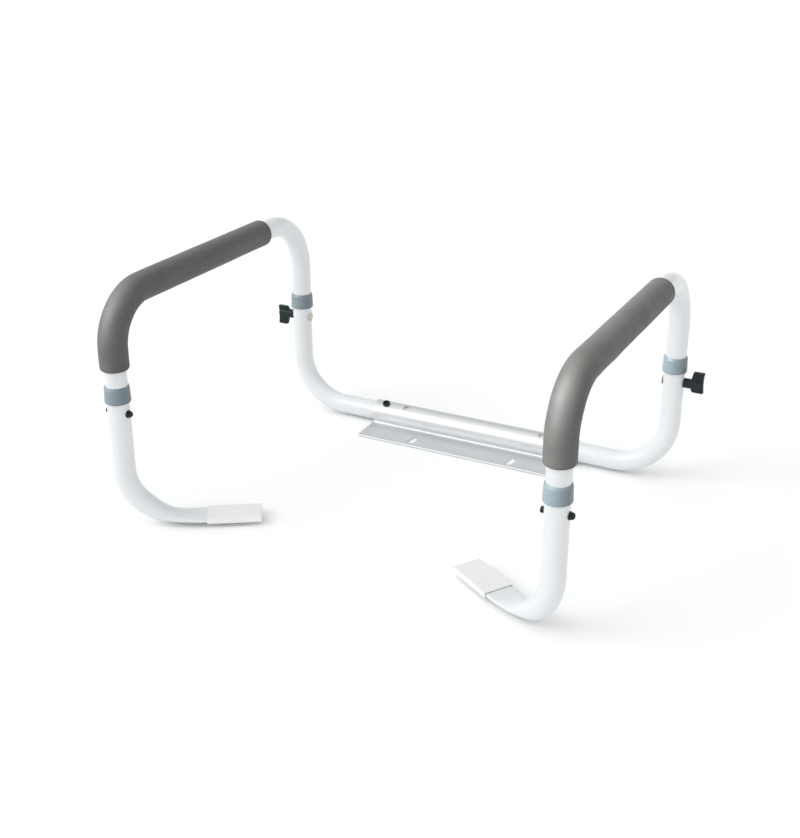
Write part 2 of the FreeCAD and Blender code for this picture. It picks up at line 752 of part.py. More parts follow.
def front_cap_nut(name, side):
    """Domed nut on the +X side, blind so that it hides the end of the bolt."""
    spot = (f"{side} * upright_offset", "tube_line - frame_depth", "front_bolt_height")
    body = new_body(f"{name}_front_cap_nut", *spot)
    start = "tube_diameter / 2 + washer_thickness"
    dome = new_sketch(body, "Dome", "YZ_Plane", out=start)
    add_circle(dome, "cap_nut_diameter")
    pad(body, dome, "cap_nut_height")

    def crown(edge):
        return lies(edge, x=value(f"{start} + cap_nut_height"))

    round_edges(body, "cap_nut_diameter / 2 * 0.75", crown)
    thread = new_sketch(body, "Thread", "YZ_Plane", out=start)
    add_circle(thread, "front_bolt_diameter + 2 * thread_gap")
    pocket(body, thread, f"front_bolt_end + stop_gap - ({start})", reverse=True)


# ---------------------------------------------------------------- build, check and write

centre_bracket()
for name, side in SIDES.items():
    width_lock_screw(name, side)
    rear_lower_tube(name, side)
    collar(f"{name}_rear_collar", side, "tube_line", "rear_top")
    rear_lock_bolt(name, side)
    rear_lock_knob(name, side)
    knob_insert(name, side)
    handle_tube(name, side)
    foam_grip(name, side)
    front_lower_tube(name, side)
    collar(f"{name}_front_collar", side, "tube_line - frame_depth", "front_top")
    front_lock_bolt(name, side)
    front_washer(name, side)
    front_cap_nut(name, side)
    foot_cap(name, side)
doc.recompute()

for item in doc.Objects:
    if "Invalid" in item.State or "Error" in item.State:
        raise RuntimeError(f"{item.Label} failed: {item.State}")
for node in nodes:
    if node.Shape.isNull() or not node.Shape.isValid() or len(node.Shape.Solids) != 1:
        raise RuntimeError(f"{node.Label} is not one valid solid")

os.makedirs("parts", exist_ok=True)
for node in nodes:
    node.Shape.exportStep(f"parts/{node.Label}.step")
print(f"wrote {len(nodes)} parts")
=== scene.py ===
import json
import math

import bmesh
import bpy
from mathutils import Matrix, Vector, noise


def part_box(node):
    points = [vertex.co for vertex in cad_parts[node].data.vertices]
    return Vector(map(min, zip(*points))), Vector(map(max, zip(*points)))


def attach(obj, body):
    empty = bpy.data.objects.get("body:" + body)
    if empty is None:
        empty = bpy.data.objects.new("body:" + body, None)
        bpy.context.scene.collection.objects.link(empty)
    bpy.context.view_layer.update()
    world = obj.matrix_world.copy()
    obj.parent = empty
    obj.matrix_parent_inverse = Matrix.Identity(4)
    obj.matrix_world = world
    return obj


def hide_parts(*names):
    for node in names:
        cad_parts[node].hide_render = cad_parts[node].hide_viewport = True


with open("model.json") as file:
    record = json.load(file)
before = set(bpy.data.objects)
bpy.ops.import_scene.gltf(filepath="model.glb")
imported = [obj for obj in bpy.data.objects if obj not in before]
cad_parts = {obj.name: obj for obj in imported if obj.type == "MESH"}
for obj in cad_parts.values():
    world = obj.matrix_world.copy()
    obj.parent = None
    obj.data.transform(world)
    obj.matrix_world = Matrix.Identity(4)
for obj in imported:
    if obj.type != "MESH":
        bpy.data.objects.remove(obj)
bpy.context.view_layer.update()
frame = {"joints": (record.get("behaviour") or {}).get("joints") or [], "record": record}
RECORD = frame["record"]
BODY_OF = {node: body for body, nodes in RECORD["behaviour"]["bodies"].items() for node in nodes}
SLOT_OF = {part["node"]: part["material_slot"] for part in RECORD["subparts"]}
TRAVEL = {joint["name"]: joint.get("range_m") for joint in frame["joints"]}

MM = 0.001
# in metres: nearer than this is the same place, and nearer than this is on the axis
TOUCHING = 1e-6
ON_AXIS = 1e-7
# tubes: wall, how much smaller in radius the legs are, the gap where pieces meet, and the bends
WALL = 1.2 * MM
SWAGE_STEP = 1.3 * MM
STOP_GAP = 0.3 * MM
REAR_ARM_BEND = 70 * MM
FRONT_ARM_BEND = 56 * MM
REAR_LOWER_BEND = 65 * MM
FOOT_BEND = 60 * MM
TUBE_LIP = 0.4 * MM
# front foot: distances run along it from the corner of its centre line
FOOT_ANGLE = math.radians(32.5)
PRESS_SHARE = 0.5
FLAT_END = 88 * MM
FLAT_HEIGHT = 8.2 * MM
TUBE_END = 150 * MM
CAP_START = 90 * MM
CAP_LENGTH = 63 * MM
CAP_WIDTH = 36 * MM
# bolts are radii; gaps are added round them in a drilled hole, in an adjustment hole and in a thread
REAR_BOLT = 3 * MM
FRONT_BOLT = 2.5 * MM
HOLE_GAP = 0.2 * MM
STEP_GAP = 0.3 * MM
THREAD_GAP = 0.05 * MM
INSERT_BORE = 3.2 * MM
INSERT_RADIUS = 4 * MM
INSERT_END = 24 * MM
# mesh density: points round a tube, angle between rings in a bend, distance between rings in a run
AROUND = 72
BEND_STEP = math.radians(4)
RUN_STEP = 0.02
# lock screws lean forward over the tube
LOCK_TILT = math.radians(20)
LOCK_WAY = Vector((0, -math.sin(LOCK_TILT), math.cos(LOCK_TILT)))
# studio
LIGHT_SIDE = (-0.58, -0.72, 0.45)
KEY_PLACE = (-1.8, -1.9, 1.8)
HEART = (0, -0.15, 0.12)
AIR_DIM = 0.24
AIR_BRIGHT = 1.36
KEY_ENERGY = 0.95
KEY_ANGLE = math.radians(40)
# the lamps that fall on one side's foam and collars only
DARK_PLACE = (-1.7, -2.1, 2.4)
DARK_ANGLE = math.radians(60)
DARK_ENERGY = {"left": 4.6, "right": 8.6}
# the photograph's camera, in millimetres, metres and degrees
SENSOR_MM = 36.0
LENS_MM = 54.43
CAMERA_PLACE = (0.6123, -1.3631, 0.7108)
CAMERA_DOWN = 23.96
CAMERA_TURN = math.radians(27.21)
VIEW_END = 60


# ------------------------------------------------------------------ places read from the frame


class Side:
    """One arm of the frame: where its tubes stand."""

    def __init__(self, name):
        self.name = name
        self.sign = -1 if name == "left" else 1
        low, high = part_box(f"{name}_handle_tube")
        self.tube = (high.x - low.x) / 2
        self.x = (low.x + high.x) / 2
        self.rear = high.y - self.tube
        self.front = low.y + self.tube
        self.arm = high.z - self.tube
        self.leg_end = low.z
        self.rear_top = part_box(f"{name}_rear_lower_tube")[1].z
        self.front_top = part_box(f"{name}_front_lower_tube")[1].z
        self.rear_bolt = middle(f"{name}_rear_lock_bolt").z
        self.front_bolt = middle(f"{name}_front_lock_bolt").z
        self.travel = TRAVEL[f"{name}_height_slide"][1]
        self.foot = Vector((-self.sign * math.cos(FOOT_ANGLE), math.sin(FOOT_ANGLE), 0))


def middle(node):
    low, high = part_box(node)
    return (low + high) / 2


# ------------------------------------------------------------------ mesh tools


class Route:
    """A centre line in one plane: straight runs joined by arcs."""

    def __init__(self, corners, bends=()):
        corners = [Vector(corner) for corner in corners]
        runs = [(after - here).normalized() for here, after in zip(corners, corners[1:])]
        self.normal = runs[0].cross(runs[1]).normalized() if bends else runs[0].orthogonal().normalized()
        self.pieces = []
        self.length = 0.0
        start = corners[0]
        for i, run in enumerate(runs):
            bend = bends[i] if i < len(bends) else 0.0
            turn = run.angle(runs[i + 1]) if bend else 0.0
            cut = bend * math.tan(turn / 2)
            straight = (corners[i + 1] - start).length - cut
            self.pieces.append((self.length, straight, start, run, None, 0.0))
            self.length += straight
            if bend:
                after = runs[i + 1]
                entry = start + run * straight
                inward = (after - run * run.dot(after)).normalized()
                self.pieces.append((self.length, bend * turn, entry + inward * bend, run, -inward, bend))
                self.length += bend * turn
                start = corners[i + 1] + after * cut

    def at(self, distance):
        """The point and the direction that far along the line."""
        found = self.pieces[0]
        for piece in self.pieces:
            if distance >= piece[0]:
                found = piece
        begin, _, origin, run, outward, bend = found
        ahead = distance - begin
        if outward is None:
            return origin + run * ahead, run
        turned_by = ahead / bend
        place = origin + (outward * math.cos(turned_by) + run * math.sin(turned_by)) * bend
        return place, run * math.cos(turned_by) - outward * math.sin(turned_by)

    def stations(self, low, high, fine, pitch):
        """Distances strictly between two others where a skin needs a ring."""
        marks = []
        for begin, length, _, _, outward, bend in self.pieces:
            step = bend * fine if outward is not None else pitch
            count = max(1, round(length / step)) if step else 1
            marks += [begin + length * i / count for i in range(count + 1)]
        return [mark for mark in sorted(set(marks)) if low + TOUCHING < mark < high - TOUCHING]


def rounded(corners, steps=4):
    """A closed outline of (along, radius, rounding) corners, with an arc at each rounded corner."""
    outline = []
    for i, (along, radius, rounding) in enumerate(corners):
        here = Vector((along, radius))
        if not rounding:
            outline.append(here)
            continue
        before = (Vector(corners[i - 1][:2]) - here).normalized()
        after = (Vector(corners[(i + 1) % len(corners)][:2]) - here).normalized()
        half = before.angle(after) / 2
        centre = here + (before + after).normalized() * rounding / math.sin(half)
        start = here + before * rounding / math.tan(half) - centre
        end = here + after * rounding / math.tan(half) - centre
        sweep = math.pi - 2 * half
        for k in range(steps + 1):
            share = k / steps
            low = math.sin((1 - share) * sweep) / math.sin(sweep)
            high = math.sin(share * sweep) / math.sin(sweep)
            outline.append(centre + start * low + end * high)
    return [(point.x, point.y) for point in outline]


def skin(rings, looped=False):
    """Quads between rings of equal count. A ring of one point is a pole."""
    work = bmesh.new()
    rows = [[work.verts.new(point) for point in ring] for ring in rings]
    pairs = list(zip(rows, rows[1:]))
    if looped:
        pairs.append((rows[-1], rows[0]))
    for low, high in pairs:
        count = max(len(low), len(high))
        for i in range(count):
            j = (i + 1) % count
            if len(low) == 1:
                work.faces.new((low[0], high[j], high[i]))
            elif len(high) == 1:
                work.faces.new((low[i], low[j], high[0]))
            else:
                work.faces.new((low[i], low[j], high[j], high[i]))
    bmesh.ops.recalc_face_normals(work, faces=work.faces)
    return work


def prism(ends):
    """A solid between two flat outlines of equal count."""
    work = bmesh.new()
    first, last = ([work.verts.new(point) for point in end] for end in ends)
    work.faces.new(first)
    work.faces.new(last[::-1])
    for i in range(len(first)):
        j = (i + 1) % len(first)
        work.faces.new((first[i], first[j], last[j], last[i]))
    bmesh.ops.recalc_face_normals(work, faces=work.faces)
    return work


def to_mesh(work, name):
    mesh = bpy.data.meshes.new(name)
    work.to_mesh(mesh)
    work.free()
    return mesh


def turned(route, outline, around=AROUND, fine=BEND_STEP, pitch=RUN_STEP, shape=None):
    """The outline of (along, radius) points swept round the route."""
    closed = outline[0][1] > 0 and outline[-1][1] > 0
    points = list(outline) + ([outline[0]] if closed else [])
    rings = []
    for (low, start), (high, end) in zip(points, points[1:]):
        marks = route.stations(min(low, high), max(low, high), fine, pitch)
        if high < low:
            marks.reverse()
        steps = [(low, start)]
        steps += [(mark, start + (end - start) * (mark - low) / (high - low)) for mark in marks]
        rings += [ring(route, along, radius, around, shape) for along, radius in steps]
    if not closed:
        rings.append(ring(route, *points[-1], around, shape))
    return skin(rings, looped=closed)


def ring(route, along, radius, around, shape=None):
    centre, direction = route.at(along)
    if radius < ON_AXIS:
        return [centre]
    aside = direction.cross(route.normal)
    points = []
    for i in range(around):
        angle = math.tau * i / around
        reach = shape(along, angle, radius) if shape else radius
        points.append(centre + (aside * math.cos(angle) + route.normal * math.sin(angle)) * reach)
    return points


def rod(start, end, radius, around=40):
    """A plain closed round bar, used as a cutter."""
    route = Route((start, end))
    outline = ((0, 0), (0, radius), (route.length, radius), (route.length, 0))
    return turned(route, outline, around, pitch=1.0)


def carve(work, cutters, operation="DIFFERENCE"):
    """The work with each cutter taken away or joined on; all are closed bmeshes, and all are used up."""
    target = bpy.data.objects.new("cut_target", to_mesh(work, "cut_target"))
    bpy.context.scene.collection.objects.link(target)
    tools = []
    for i, cutter in enumerate(cutters):
        tool = bpy.data.objects.new(f"cut_tool_{i}", to_mesh(cutter, "cut_tool"))
        bpy.context.scene.collection.objects.link(tool)
        modifier = target.modifiers.new(tool.name, "BOOLEAN")
        modifier.operation = operation
        modifier.solver = "EXACT"
        modifier.object = tool
        tools.append(tool)
    bpy.context.view_layer.update()
    evaluated = target.evaluated_get(bpy.context.evaluated_depsgraph_get())
    result = bmesh.new()
    result.from_mesh(evaluated.to_mesh())
    evaluated.to_mesh_clear()
    for item in (target, *tools):
        mesh = item.data
        bpy.data.objects.remove(item)
        bpy.data.meshes.remove(mesh)
    return result


def soften(work, width, angle=math.radians(35), steps=2):
    """Rounds every edge that is sharper than the angle."""
    bmesh.ops.remove_doubles(work, verts=work.verts, dist=TOUCHING)
    bmesh.ops.recalc_face_normals(work, faces=work.faces)
    sharp = [edge for edge in work.edges if edge.is_manifold and edge.calc_face_angle() > angle]
    bmesh.ops.bevel(
        work, geom=sharp, offset=width, offset_type="OFFSET", segments=steps, profile=0.5,
        affect="EDGES", clamp_overlap=True,
    )
    return work


def piece(node, work, smooth=math.radians(30)):
    """Puts a finished mesh in place of its CAD node, on the same body and with the same slot."""
    name = f"{node}_fine"
    made = bpy.data.objects.new(name, to_mesh(work, name))
    bpy.context.scene.collection.objects.link(made)
    made.data.shade_smooth()
    made.data.set_sharp_from_angle(angle=smooth)
    made.data.materials.append(FINISHES[SLOT_OF[node]])
    weighted = made.modifiers.new("even_normals", "WEIGHTED_NORMAL")
    weighted.keep_sharp = True
    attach(made, BODY_OF[node])
    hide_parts(node)
    return made


# ------------------------------------------------------------------ finishes


class Finish:
    """A Principled material with textures that follow the piece's own coordinates."""

    def __init__(self, name, **settings):
        self.material = bpy.data.materials.new(name)
        self.material.use_nodes = True
        self.nodes = self.material.node_tree.nodes
        self.links = self.material.node_tree.links
        self.shader = self.nodes["Principled BSDF"]
        for setting, amount in settings.items():
            socket = setting.replace("_", " ").title().replace("Ior", "IOR")
            self.shader.inputs[socket].default_value = amount
        self.coordinates = self.nodes.new("ShaderNodeTexCoord").outputs["Object"]
        self.relief = None

    def stretched(self, scale):
        mapping = self.nodes.new("ShaderNodeMapping")
        mapping.inputs["Scale"].default_value = scale
        self.links.new(self.coordinates, mapping.inputs["Vector"])
        return mapping.outputs["Vector"]

    def grain(self, scale, detail=3.0, roughness=0.5, stretch=(1, 1, 1)):
        """Noise between 0 and 1, with its scale in features per metre."""
        texture = self.nodes.new("ShaderNodeTexNoise")
        texture.inputs["Scale"].default_value = scale
        texture.inputs["Detail"].default_value = detail
        texture.inputs["Roughness"].default_value = roughness
        self.links.new(self.stretched(stretch), texture.inputs["Vector"])
        return texture.outputs["Fac"]

    def pores(self, scale, stretch=(1, 1, 1)):
        texture = self.nodes.new("ShaderNodeTexVoronoi")
        texture.inputs["Scale"].default_value = scale
        self.links.new(self.stretched(stretch), texture.inputs["Vector"])
        return texture.outputs["Distance"]

    def ramp(self, value, low, high, start=0.35, end=0.65):
        """Colours or greys between two values of a texture."""
        node = self.nodes.new("ShaderNodeValToRGB")
        stops = node.color_ramp.elements
        stops[0].position, stops[0].color = start, low
        stops[1].position, stops[1].color = end, high
        self.links.new(value, node.inputs["Fac"])
        return node.outputs["Color"]

    def colour(self, value, low, high, start=0.35, end=0.65):
        painted = self.ramp(value, (*low, 1), (*high, 1), start, end)
        self.links.new(painted, self.shader.inputs["Base Color"])

    def gloss(self, value, low, high, start=0.3, end=0.7):
        node = self.nodes.new("ShaderNodeMapRange")
        node.inputs["From Min"].default_value = start
        node.inputs["From Max"].default_value = end
        node.inputs["To Min"].default_value = low
        node.inputs["To Max"].default_value = high
        self.links.new(value, node.inputs["Value"])
        self.links.new(node.outputs["Result"], self.shader.inputs["Roughness"])

    def bump(self, value, height, strength=1.0):
        """Adds a layer of relief of the given height in metres on top of the earlier ones."""
        node = self.nodes.new("ShaderNodeBump")
        node.inputs["Distance"].default_value = height
        node.inputs["Strength"].default_value = strength
        self.links.new(value, node.inputs["Height"])
        if self.relief:
            self.links.new(self.relief, node.inputs["Normal"])
        self.relief = node.outputs["Normal"]
        self.links.new(self.relief, self.shader.inputs["Normal"])


def powder_coat():
    """White semi-gloss powder coat: a faint orange peel and slightly uneven tone."""
    finish = Finish("white_powder_coat", specular_ior_level=0.55, coat_weight=0.3, coat_roughness=0.12)
    finish.colour(finish.grain(9, 2), (0.690, 0.703, 0.709), (0.707, 0.720, 0.726))
    finish.gloss(finish.grain(700, 2), 0.27, 0.32)
    finish.bump(finish.grain(150, 1, 0.3), 0.00003, 0.25)
    return finish.material


def extruded_aluminium():
    """Satin anodised extrusion with fine die lines along its length."""
    finish = Finish("satin_aluminium", metallic=1.0)
    lines = finish.grain(1, 4, 0.6, stretch=(3, 1400, 1400))
    finish.colour(lines, (0.64, 0.645, 0.655), (0.71, 0.715, 0.72), 0.3, 0.7)
    finish.gloss(finish.grain(1, 3, 0.6, stretch=(6, 700, 700)), 0.35, 0.47)
    finish.bump(lines, 0.00002, 0.35)
    finish.bump(finish.grain(2500, 2), 0.00001, 0.25)
    return finish.material


def closed_cell_foam():
    """Grey sponge rubber: a fine matt skin with small open cells and soft blotches."""
    finish = Finish("grey_foam", specular_ior_level=0.85)
    finish.colour(finish.grain(28, 5, 0.65), (0.043, 0.044, 0.040), (0.061, 0.062, 0.056), 0.3, 0.7)
    finish.gloss(finish.grain(35, 3), 0.54, 0.66)
    finish.bump(finish.grain(60, 2), 0.0004, 0.12)
    finish.bump(finish.pores(1400), 0.00022, 0.55)
    finish.bump(finish.grain(3200, 3, 0.6), 0.00008, 0.5)
    return finish.material


def collar_plastic():
    """Blue-grey moulded plastic with a satin skin."""
    finish = Finish("blue_grey_plastic", specular_ior_level=0.9)
    finish.colour(finish.grain(45, 3), (0.104, 0.137, 0.156), (0.122, 0.155, 0.174))
    finish.gloss(finish.grain(300, 3), 0.3, 0.4)
    finish.bump(finish.grain(1600, 3, 0.55), 0.00003, 0.5)
    return finish.material


def knob_plastic():
    """Black glass-filled nylon with a fine spark-eroded grain."""
    finish = Finish("black_nylon", specular_ior_level=0.22)
    finish.colour(finish.grain(120, 3), (0.006, 0.013, 0.014), (0.011, 0.020, 0.021))
    finish.gloss(finish.grain(260, 3), 0.34, 0.5)
    finish.bump(finish.grain(2600, 3, 0.6), 0.00006, 0.6)
    return finish.material


def black_steel():
    """Black oxide on steel, a little brighter where it has rubbed."""
    finish = Finish("black_oxide_steel", specular_ior_level=0.3)
    finish.colour(finish.grain(500, 4), (0.003, 0.0035, 0.004), (0.010, 0.0105, 0.011))
    finish.gloss(finish.grain(900, 3), 0.25, 0.42)
    finish.bump(finish.grain(3000, 2), 0.00002, 0.4)
    return finish.material


def zinc_steel():
    """Yellow-passivated zinc plate, dull and slightly mottled."""
    finish = Finish("zinc_plate", metallic=1.0)
    finish.colour(finish.grain(350, 4), (0.42, 0.40, 0.33), (0.62, 0.60, 0.53))
    finish.gloss(finish.grain(700, 3), 0.28, 0.46)
    finish.bump(finish.grain(2200, 3), 0.00003, 0.5)
    return finish.material


def turned_brass():
    finish = Finish("turned_brass", metallic=1.0)
    finish.colour(finish.grain(400, 3), (0.60, 0.44, 0.22), (0.74, 0.57, 0.31))
    finish.gloss(finish.grain(900, 2), 0.22, 0.36)
    finish.bump(finish.grain(1, 2, stretch=(6000, 300, 300)), 0.00002, 0.4)
    return finish.material


def cap_plastic():
    """Off-white flexible moulded plastic, a little translucent."""
    finish = Finish("off_white_plastic", subsurface_weight=0.12, subsurface_scale=0.002)
    finish.shader.inputs["Subsurface Radius"].default_value = (1.0, 0.9, 0.8)
    finish.colour(finish.grain(30, 3), (0.77, 0.77, 0.765), (0.80, 0.80, 0.795))
    finish.gloss(finish.grain(120, 3), 0.38, 0.5)
    finish.bump(finish.grain(700, 3), 0.00004, 0.5)
    return finish.material


FINISHES = {
    "tube_paint": powder_coat(),
    "bracket_aluminium": extruded_aluminium(),
    "grip_foam": closed_cell_foam(),
    "collar_plastic": collar_plastic(),
    "knob_plastic": knob_plastic(),
    "black_steel": black_steel(),
    "zinc_steel": zinc_steel(),
    "insert_brass": turned_brass(),
    "cap_plastic": cap_plastic(),
}


# ------------------------------------------------------------------ tubes


def across(x, y, z, reach, radius):
    """A cutter along X through the point."""
    return rod((x - reach, y, z), (x + reach, y, z), radius)


def handle_tube(side):
    """Rear leg, armrest and front leg in one bent tube, with swaged legs and adjustment holes."""
    route = Route(
        (
            (side.x, side.rear, side.leg_end),
            (side.x, side.rear, side.arm),
            (side.x, side.front, side.arm),
            (side.x, side.front, side.leg_end),
        ),
        (REAR_ARM_BEND, FRONT_ARM_BEND),
    )
    full, leg = side.tube, side.tube - SWAGE_STEP
    cone, blend = 4 * MM, 3 * MM
    rear = side.rear_top + STOP_GAP - side.leg_end
    front = route.length - (side.front_top + STOP_GAP - side.leg_end)
    outline = rounded(
        (
            (0, leg, TUBE_LIP),
            (rear, leg, blend),
            (rear + cone, full, blend),
            (front - cone, full, blend),
            (front, leg, blend),
            (route.length, leg, TUBE_LIP),
            (route.length, leg - WALL, TUBE_LIP),
            (front, leg - WALL, blend),
            (front - cone, full - WALL, blend),
            (rear + cone, full - WALL, blend),
            (rear, leg - WALL, blend),
            (0, leg - WALL, TUBE_LIP),
        )
    )
    holes = []
    for step in range(3):
        drop = side.travel * step / 2
        rear_hole = (side.rear, side.rear_bolt - drop, REAR_BOLT + STEP_GAP)
        front_hole = (side.front, side.front_bolt - drop, FRONT_BOLT + STEP_GAP)
        for y, z, radius in (rear_hole, front_hole):
            holes.append(across(side.x, y, z, 2 * side.tube, radius))
    piece(f"{side.name}_handle_tube", carve(turned(route, outline), holes))


def rear_lower_tube(side):
    """Out of the bracket, one bend, then up into the collar."""
    node = f"{side.name}_rear_lower_tube"
    low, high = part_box(node)
    inner = high.x if side.sign < 0 else low.x
    height = low.z + side.tube
    corners = ((inner, side.rear, height), (side.x, side.rear, height), (side.x, side.rear, high.z))
    route = Route(corners, (REAR_LOWER_BEND,))
    outline = rounded(
        (
            (0, side.tube, TUBE_LIP),
            (route.length, side.tube, TUBE_LIP),
            (route.length, side.tube - WALL, TUBE_LIP),
            (0, side.tube - WALL, TUBE_LIP),
        )
    )
    hole = across(side.x, side.rear, side.rear_bolt, 2 * side.tube, REAR_BOLT + HOLE_GAP)
    piece(node, carve(turned(route, outline), [hole]))


def obround_point(half_width, half_height, angle):
    """A point on a slot-shaped outline, shared out evenly: 0 is the middle of the lower side."""
    quarter = math.pi / 2
    turns, share = divmod(angle % math.tau, quarter)
    if turns % 2:
        share = quarter - share
    straight = half_width - half_height
    gone = share / quarter * (straight + half_height * quarter)
    lean = max(0.0, gone - straight) / half_height
    aside = min(gone, straight) + half_height * math.sin(lean)
    down = half_height * math.cos(lean)
    return (down if turns in (0, 3) else -down), (aside if turns < 2 else -aside)


def front_lower_tube(side):
    """Down from the front collar, one bend, pressed flat from halfway round it to the foot cap."""
    node = f"{side.name}_front_lower_tube"
    top = Vector((side.x, side.front, side.front_top))
    heel = Vector((side.x, side.front, side.tube))
    route = Route((top, heel, heel + side.foot * TUBE_END), (FOOT_BEND,))
    sunk = side.tube - FLAT_HEIGHT
    bend_start, bend_length = route.pieces[1][:2]
    press_start = bend_start + PRESS_SHARE * bend_length
    press_end = route.length - TUBE_END + FLAT_END
    steps = 36
    bent = route.stations(0, press_start, BEND_STEP, RUN_STEP)
    flattened = [press_start + (press_end - press_start) * step / steps for step in range(steps + 1)]
    marks = (0.0, *bent, *flattened, route.length)

    def half(radius, flat):
        rings = []
        for mark in marks:
            share = min(max((mark - press_start) / (press_end - press_start), 0), 1)
            press = share * share * (3 - 2 * share)
            rings.append(pressed(route, mark, radius, flat, press, sunk))
        return rings

    flat_outside, flat_inside = (16.7 * MM, 2.1 * MM), (15.5 * MM, 0.9 * MM)
    outer = half(side.tube, flat_outside)
    inner = half(side.tube - WALL, flat_inside)
    body = skin(outer + inner[::-1], looped=True)
    hole = across(side.x, side.front, side.front_bolt, 2 * side.tube, FRONT_BOLT + HOLE_GAP)
    piece(node, carve(body, [hole]))


def pressed(route, along, radius, flat, press, sunk):
    """A tube section between round, at press 0, and flat and sunk outwards, at press 1.

    flat holds half the width and half the thickness of the flat shape.
    """
    centre, direction = route.at(along)
    aside = direction.cross(route.normal)
    points = []
    for i in range(AROUND):
        angle = math.tau * i / AROUND
        down, across_width = obround_point(*flat, angle)
        down += (radius * math.cos(angle) - down) * (1 - press) + sunk * press
        across_width += (radius * math.sin(angle) - across_width) * (1 - press)
        points.append(centre + aside * down + route.normal * across_width)
    return points


# ------------------------------------------------------------------ plastic and foam


def foam_grip(side):
    """Foam sleeve, a little lumpy, drawn thin outside the bend and gathered inside it."""
    node = f"{side.name}_foam_grip"
    low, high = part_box(node)
    radius = (high.x - low.x) / 2
    bore = side.tube + 0.05 * MM
    route = Route(
        ((side.x, high.y, side.arm), (side.x, side.front, side.arm), (side.x, side.front, low.z)),
        (FRONT_ARM_BEND,),
    )
    bend_start, bend_length = route.pieces[1][:2]
    seed = Vector((side.sign * 3.1, 0.7, 0.2))
    skin_depth = 1.2 * MM
    coarse, fine = 38, 110
    bend_spread, fold_count = 0.42, 3.5
    # heights in millimetres
    coarse_lump, fine_lump = 0.22, 0.1
    gathering, thinning, folding = 0.30, 0.35, 0.22

    def soft(along, angle, reach):
        if reach < radius - skin_depth:
            return reach
        place, _ = route.at(along)
        turn = Vector((math.cos(angle), math.sin(angle), 0)) * 0.6
        lump = noise.noise(place * coarse + turn + seed) * coarse_lump
        lump += noise.noise(place * fine + turn * 2.5 - seed) * fine_lump
        into = (along - bend_start) / bend_length
        bent = math.exp(-((into - 0.5) / bend_spread) ** 2)
        inside = max(0.0, -math.cos(angle)) ** 2
        outside = max(0.0, math.cos(angle)) ** 2
        folds = math.cos(math.tau * (into - 0.5) * fold_count) * inside ** 2
        gathered = bent * (gathering * inside - thinning * outside + folding * folds)
        return reach + (lump + gathered) * MM

    end = 3.2 * MM
    outline = rounded(
        (
            (0, radius, end),
            (route.length, radius, end),
            (route.length, bore, 0),
            (0, bore, 0),
        ),
        steps=8,
    )
    grip = turned(route, outline, around=96, fine=math.radians(2.5), pitch=0.004, shape=soft)
    made = piece(node, grip, smooth=math.radians(50))


def collar(side, place):
    """Tapered plastic sleeve with a bevelled rim and a rounded foot."""
    node = f"{side.name}_{place}_collar"
    low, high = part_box(node)
    centre = middle(node)
    height = high.z - low.z
    route = Route(((centre.x, centre.y, low.z), (centre.x, centre.y, high.z)))
    bore, foot = side.tube + 0.1 * MM, (high.x - low.x) / 2
    shoulder, rim, bevel = 14.3 * MM, 13.4 * MM, 3 * MM
    outline = rounded(
        (
            (0, bore, 0.2 * MM),
            (0, foot, 1.3 * MM),
            (height - bevel, shoulder, 0.5 * MM),
            (height, rim, 0.2 * MM),
            (height, bore + 0.3 * MM, 0.05 * MM),
            (height - 1 * MM, bore, 0),
        )
    )
    piece(node, turned(route, outline, pitch=1.0))


def rounded_rectangle(width, height, radius, steps=6):
    """Points of a rectangle with round corners, centred on the origin."""
    points = []
    for turn, (across_width, up) in enumerate(((1, 1), (-1, 1), (-1, -1), (1, -1))):
        for k in range(steps + 1):
            angle = math.pi / 2 * (turn + k / steps)
            points.append((across_width * (width / 2 - radius) + radius * math.cos(angle),
                           up * (height / 2 - radius) + radius * math.sin(angle)))
    return points


